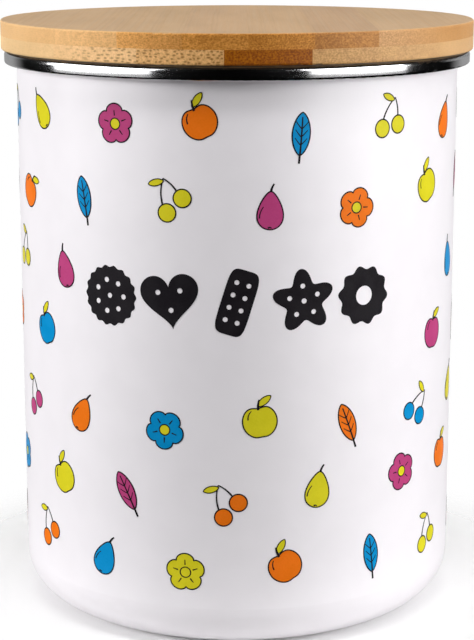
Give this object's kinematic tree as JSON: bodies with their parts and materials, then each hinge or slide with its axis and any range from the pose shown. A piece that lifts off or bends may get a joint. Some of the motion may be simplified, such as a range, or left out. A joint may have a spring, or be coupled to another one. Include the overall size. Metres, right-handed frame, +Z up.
{
  "type": "biscuit tin",
  "caption": "Round enamelled steel canister with a steel-trimmed rim and a lift-off laminated bamboo lid whose plug carries a finned seal.",
  "frame": {"origin": "centre of the standing ring, on the surface that the tin stands on", "axes": "+Z up along the tin's axis; the lid's staves run along Y; -Y faces the viewer"},
  "size_m": [0.14, 0.14, 0.175],
  "materials": {
    "enamel": "glossy white vitreous enamel with a printed design",
    "trim": "mirror-polished stainless steel",
    "bamboo_face": "satin lacquered bamboo",
    "bamboo_core": "satin lacquered bamboo",
    "seal": "matt translucent silicone"
  },
  "bodies": {
    "can": {"can_body": "enamel", "rim_trim": "trim"},
    "lid": {"top_stave_1": "bamboo_face", "top_stave_2": "bamboo_face", "top_stave_3": "bamboo_face", "top_stave_4": "bamboo_face", "top_stave_5": "bamboo_face", "top_stave_6": "bamboo_face", "top_stave_7": "bamboo_face", "top_stave_8": "bamboo_face", "core_stave_1": "bamboo_core", "core_stave_2": "bamboo_core", "core_stave_3": "bamboo_core", "core_stave_4": "bamboo_core", "core_stave_5": "bamboo_core", "core_stave_6": "bamboo_core", "plug_stave_1": "bamboo_face", "plug_stave_2": "bamboo_face", "plug_stave_3": "bamboo_face", "plug_stave_4": "bamboo_face", "plug_stave_5": "bamboo_face", "plug_stave_6": "bamboo_face", "plug_stave_7": "bamboo_face", "plug_stave_8": "bamboo_face", "seal_ring": "seal"}
  },
  "joints": [
    {"name": "lid_lift", "type": "slide", "parent": "can", "child": "lid", "axis": [0, 0, 1], "range_m": [0, 0.16]}
  ]
}
